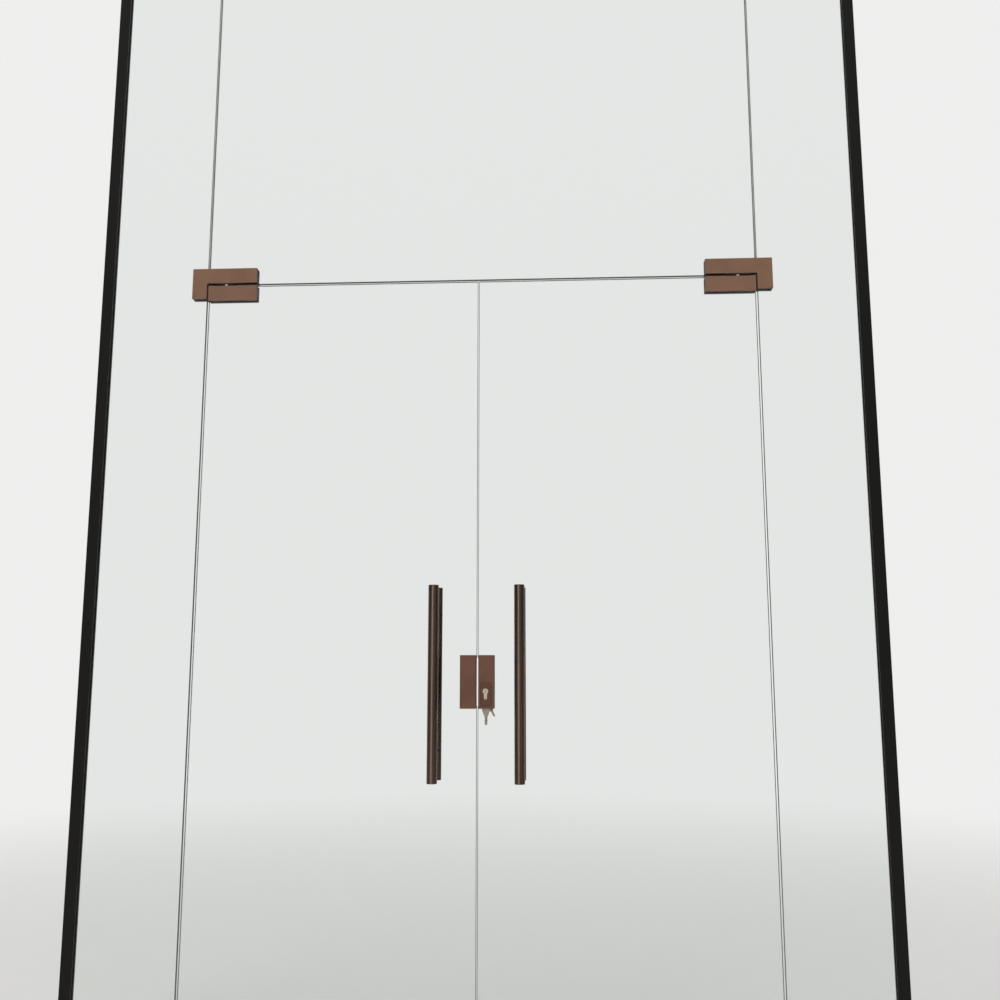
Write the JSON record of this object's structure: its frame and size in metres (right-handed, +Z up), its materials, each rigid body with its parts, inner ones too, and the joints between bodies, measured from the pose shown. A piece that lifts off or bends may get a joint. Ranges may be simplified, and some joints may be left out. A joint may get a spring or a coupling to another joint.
{
  "type": "frameless double glass entrance door",
  "caption": "Frameless double glass entrance door with transom and sidelights in dark channels, bronze patch fittings, floor springs, long pull bars and a glass-mounted lock.",
  "frame": {"origin": "middle of the doorway at the finished floor, on the middle plane of the glass", "axes": "+X to the right seen from outside, +Y into the building, +Z up"},
  "size_m": [2.53, 0.152, 3.6525],
  "materials": {
    "channel_finish": "satin near-black anodised",
    "clear_glass": "clear toughened, ground edges",
    "cast_alloy": "satin cast",
    "bronze_cover": "satin bronze anodised",
    "lock_brown": "satin reddish bronze anodised",
    "dark_tube": "satin dark brown coated",
    "pad_rubber": "matt",
    "gasket_rubber": "matt",
    "silicone": "translucent neutral",
    "block_plastic": "moulded",
    "bush_nylon": "turned nylon",
    "bright_steel": "bright turned",
    "plate_steel": "brushed",
    "housing_iron": "painted casting",
    "box_steel": "galvanised sheet",
    "nickel": "satin nickel",
    "key_metal": "worn nickel silver"
  },
  "bodies": {
    "frame": {"channel_gaskets": "gasket_rubber", "corner_patch_pads": "pad_rubber", "corner_patch_screws": "bright_steel", "head_channel": "channel_finish", "left_corner_patch_body": "cast_alloy", "left_corner_patch_covers": "bronze_cover", "left_floor_box": "box_steel", "left_floor_plate": "plate_steel", "left_floor_spring": "housing_iron", "left_sidelight_glass": "clear_glass", "left_sill_channel": "channel_finish", "left_wall_channel": "channel_finish", "right_corner_patch_body": "cast_alloy", "right_corner_patch_covers": "bronze_cover", "right_floor_box": "box_steel", "right_floor_plate": "plate_steel", "right_floor_spring": "housing_iron", "right_sidelight_glass": "clear_glass", "right_sill_channel": "channel_finish", "right_wall_channel": "channel_finish", "setting_blocks": "block_plastic", "silicone_joints": "silicone", "top_pivot_pins": "bright_steel", "transom_glass": "clear_glass"},
    "deadbolt": {"deadbolt": "bright_steel"},
    "outside_plug": {"outside_plug": "nickel"},
    "keyed_plug": {"inside_plug": "nickel", "key": "key_metal", "key_ring": "nickel", "spare_keys": "key_metal"},
    "left_leaf": {"left_leaf_glass": "clear_glass", "left_top_patch_body": "cast_alloy", "left_top_patch_covers": "bronze_cover", "left_bottom_patch_body": "cast_alloy", "left_bottom_patch_covers": "bronze_cover", "left_glass_pads": "pad_rubber", "left_clamp_screws": "bright_steel", "left_pivot_bush": "bush_nylon", "left_floor_spindle": "bright_steel", "left_outside_pull": "dark_tube", "left_inside_pull": "dark_tube", "left_pull_posts": "dark_tube", "strike_case": "cast_alloy", "strike_covers": "lock_brown"},
    "right_leaf": {"right_leaf_glass": "clear_glass", "right_top_patch_body": "cast_alloy", "right_top_patch_covers": "bronze_cover", "right_bottom_patch_body": "cast_alloy", "right_bottom_patch_covers": "bronze_cover", "right_glass_pads": "pad_rubber", "right_clamp_screws": "bright_steel", "right_pivot_bush": "bush_nylon", "right_floor_spindle": "bright_steel", "right_outside_pull": "dark_tube", "right_inside_pull": "dark_tube", "right_pull_posts": "dark_tube", "lock_case": "cast_alloy", "lock_covers": "lock_brown", "lock_escutcheons": "lock_brown", "lock_cylinder": "nickel"}
  },
  "joints": [
    {"name": "left_leaf_swing", "type": "hinge", "parent": "frame", "child": "left_leaf", "pos_m": [-0.849, 0, 0], "axis": [0, 0, 1], "range_deg": [-90, 90], "stiffness_Nm_per_rad": 20},
    {"name": "right_leaf_swing", "type": "hinge", "parent": "frame", "child": "right_leaf", "pos_m": [0.849, 0, 0], "axis": [0, 0, 1], "range_deg": [-90, 90], "stiffness_Nm_per_rad": 20},
    {"name": "key_turn", "type": "hinge", "parent": "right_leaf", "child": "keyed_plug", "pos_m": [0.0265, 0.015, 1.054], "axis": [0, -1, 0], "range_deg": [0, 360]},
    {"name": "outside_plug_turn", "type": "hinge", "parent": "right_leaf", "child": "outside_plug", "pos_m": [0.0265, -0.015, 1.054], "axis": [0, 1, 0], "range_deg": [0, 360]},
    {"name": "deadbolt_throw", "type": "slide", "parent": "right_leaf", "child": "deadbolt", "axis": [-1, 0, 0], "range_m": [0, 0.02]}
  ],
  "couplings": [
    {"joint": "deadbolt_throw", "follows": "key_turn", "m_per_rad": 0.0031831}
  ]
}
